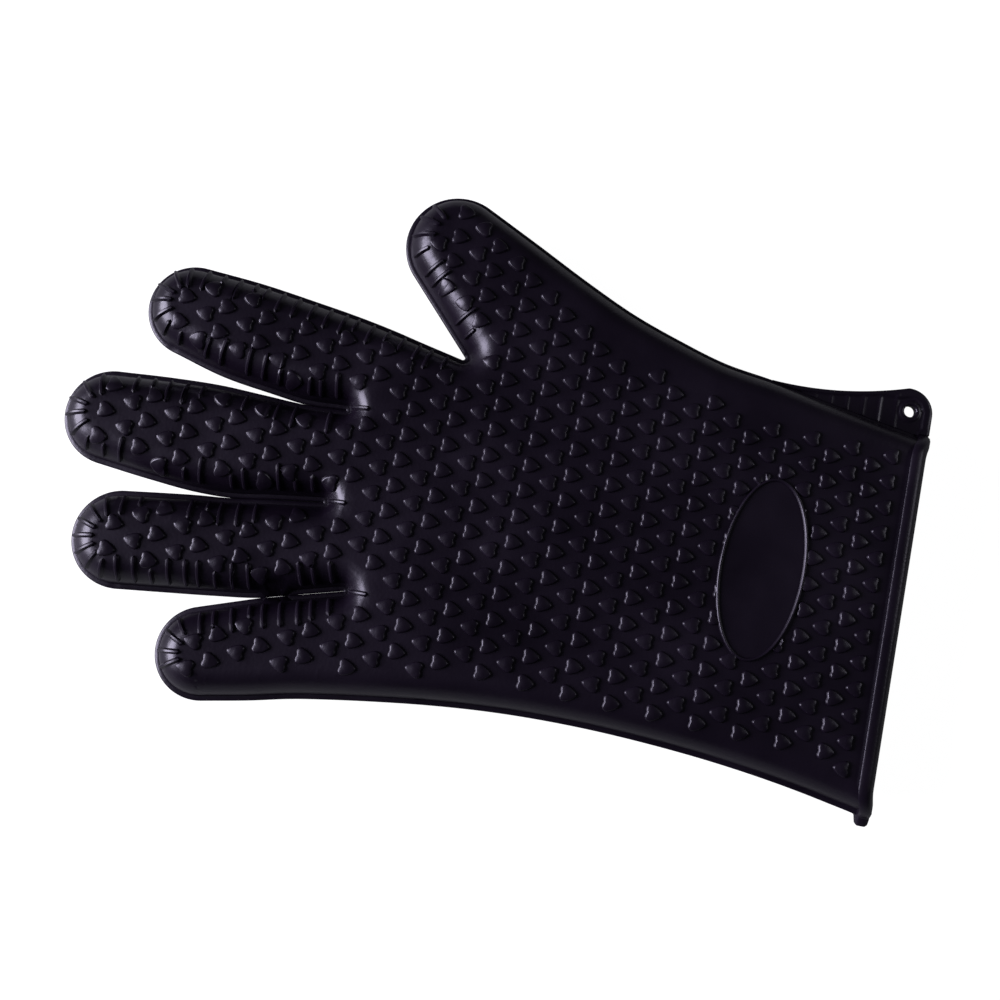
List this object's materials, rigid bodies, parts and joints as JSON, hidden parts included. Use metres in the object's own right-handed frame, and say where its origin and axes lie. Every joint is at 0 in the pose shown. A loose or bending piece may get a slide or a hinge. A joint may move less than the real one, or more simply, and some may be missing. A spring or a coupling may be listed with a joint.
{
  "type": "heat resistant glove",
  "caption": "Five-finger moulded silicone glove with flexing knuckles, raised cuff collar, hanging tab and plain oval panel, for handling hot grates and pans.",
  "frame": {"origin": "centre of the cuff mouth on the parting plane, which is halfway through the thickness", "axes": "+Y from the cuff to the fingertips, +X to the thumb side, +Z out of the grip face; the glove lies flat on its back"},
  "size_m": [0.174, 0.2703, 0.027],
  "materials": {
    "silicone": "satin moulded silicone, near black with a violet tint",
    "soft_silicone": "satin moulded silicone, the same batch, where it folds",
    "panel_silicone": "smooth polished silicone"
  },
  "bodies": {
    "palm": {"palm_shell": "silicone", "cuff_collar": "silicone", "hang_tab": "silicone", "label_panel": "panel_silicone", "index_base_fold": "soft_silicone", "middle_base_fold": "soft_silicone", "ring_base_fold": "soft_silicone", "little_base_fold": "soft_silicone", "thumb_base_fold": "soft_silicone"},
    "index_base": {"index_base_stall": "silicone", "index_middle_fold": "soft_silicone"},
    "index_middle": {"index_middle_stall": "silicone", "index_tip_fold": "soft_silicone"},
    "index_tip": {"index_tip_stall": "silicone"},
    "middle_base": {"middle_base_stall": "silicone", "middle_middle_fold": "soft_silicone"},
    "middle_middle": {"middle_middle_stall": "silicone", "middle_tip_fold": "soft_silicone"},
    "middle_tip": {"middle_tip_stall": "silicone"},
    "ring_base": {"ring_base_stall": "silicone", "ring_middle_fold": "soft_silicone"},
    "ring_middle": {"ring_middle_stall": "silicone", "ring_tip_fold": "soft_silicone"},
    "ring_tip": {"ring_tip_stall": "silicone"},
    "little_base": {"little_base_stall": "silicone", "little_middle_fold": "soft_silicone"},
    "little_middle": {"little_middle_stall": "silicone", "little_tip_fold": "soft_silicone"},
    "little_tip": {"little_tip_stall": "silicone"},
    "thumb_base": {"thumb_base_stall": "silicone", "thumb_tip_fold": "soft_silicone"},
    "thumb_tip": {"thumb_tip_stall": "silicone"}
  },
  "joints": [
    {"name": "index_base_knuckle", "type": "hinge", "parent": "palm", "child": "index_base", "pos_m": [0.04558, 0.195, 0], "axis": [1, 0, 0], "range_deg": [0, 55], "stiffness_Nm_per_rad": 0.12, "deforming": ["index_base_fold"]},
    {"name": "index_middle_knuckle", "type": "hinge", "parent": "index_base", "child": "index_middle", "pos_m": [0.04793, 0.215, 0], "axis": [1, 0, 0], "range_deg": [0, 55], "stiffness_Nm_per_rad": 0.09, "deforming": ["index_middle_fold"]},
    {"name": "index_tip_knuckle", "type": "hinge", "parent": "index_middle", "child": "index_tip", "pos_m": [0.04981, 0.231, 0], "axis": [1, 0, 0], "range_deg": [0, 30], "stiffness_Nm_per_rad": 0.06, "deforming": ["index_tip_fold"]},
    {"name": "middle_base_knuckle", "type": "hinge", "parent": "palm", "child": "middle_base", "pos_m": [0.01389, 0.195, 0], "axis": [1, 0, 0], "range_deg": [0, 55], "stiffness_Nm_per_rad": 0.12, "deforming": ["middle_base_fold"]},
    {"name": "middle_middle_knuckle", "type": "hinge", "parent": "middle_base", "child": "middle_middle", "pos_m": [0.0131, 0.22, 0], "axis": [1, 0, 0], "range_deg": [0, 55], "stiffness_Nm_per_rad": 0.09, "deforming": ["middle_middle_fold"]},
    {"name": "middle_tip_knuckle", "type": "hinge", "parent": "middle_middle", "child": "middle_tip", "pos_m": [0.01245, 0.241, 0], "axis": [1, 0, 0], "range_deg": [0, 30], "stiffness_Nm_per_rad": 0.06, "deforming": ["middle_tip_fold"]},
    {"name": "ring_base_knuckle", "type": "hinge", "parent": "palm", "child": "ring_base", "pos_m": [-0.01753, 0.195, 0], "axis": [1, 0, 0], "range_deg": [0, 55], "stiffness_Nm_per_rad": 0.12, "deforming": ["ring_base_fold"]},
    {"name": "ring_middle_knuckle", "type": "hinge", "parent": "ring_base", "child": "ring_middle", "pos_m": [-0.02088, 0.217, 0], "axis": [1, 0, 0], "range_deg": [0, 55], "stiffness_Nm_per_rad": 0.09, "deforming": ["ring_middle_fold"]},
    {"name": "ring_tip_knuckle", "type": "hinge", "parent": "ring_middle", "child": "ring_tip", "pos_m": [-0.02378, 0.236, 0], "axis": [1, 0, 0], "range_deg": [0, 30], "stiffness_Nm_per_rad": 0.06, "deforming": ["ring_tip_fold"]},
    {"name": "little_base_knuckle", "type": "hinge", "parent": "palm", "child": "little_base", "pos_m": [-0.0468, 0.183, 0], "axis": [1, 0, 0], "range_deg": [0, 50], "stiffness_Nm_per_rad": 0.12, "deforming": ["little_base_fold"]},
    {"name": "little_middle_knuckle", "type": "hinge", "parent": "little_base", "child": "little_middle", "pos_m": [-0.05113, 0.199, 0], "axis": [1, 0, 0], "range_deg": [0, 45], "stiffness_Nm_per_rad": 0.09, "deforming": ["little_middle_fold"]},
    {"name": "little_tip_knuckle", "type": "hinge", "parent": "little_middle", "child": "little_tip", "pos_m": [-0.0546, 0.2125, 0], "axis": [1, 0, 0], "range_deg": [0, 25], "stiffness_Nm_per_rad": 0.06, "deforming": ["little_tip_fold"]},
    {"name": "thumb_base_knuckle", "type": "hinge", "parent": "palm", "child": "thumb_base", "pos_m": [0.0772, 0.1451, 0], "axis": [0.8002, -0.5997, 0], "range_deg": [0, 45], "stiffness_Nm_per_rad": 0.12, "deforming": ["thumb_base_fold"]},
    {"name": "thumb_tip_knuckle", "type": "hinge", "parent": "thumb_base", "child": "thumb_tip", "pos_m": [0.0874, 0.1587, 0], "axis": [0.8002, -0.5997, 0], "range_deg": [0, 45], "stiffness_Nm_per_rad": 0.06, "deforming": ["thumb_tip_fold"]}
  ],
  "couplings": [
    {"joint": "index_tip_knuckle", "follows": "index_middle_knuckle", "ratio": 0.54},
    {"joint": "middle_tip_knuckle", "follows": "middle_middle_knuckle", "ratio": 0.54},
    {"joint": "ring_tip_knuckle", "follows": "ring_middle_knuckle", "ratio": 0.54},
    {"joint": "little_tip_knuckle", "follows": "little_middle_knuckle", "ratio": 0.54}
  ]
}
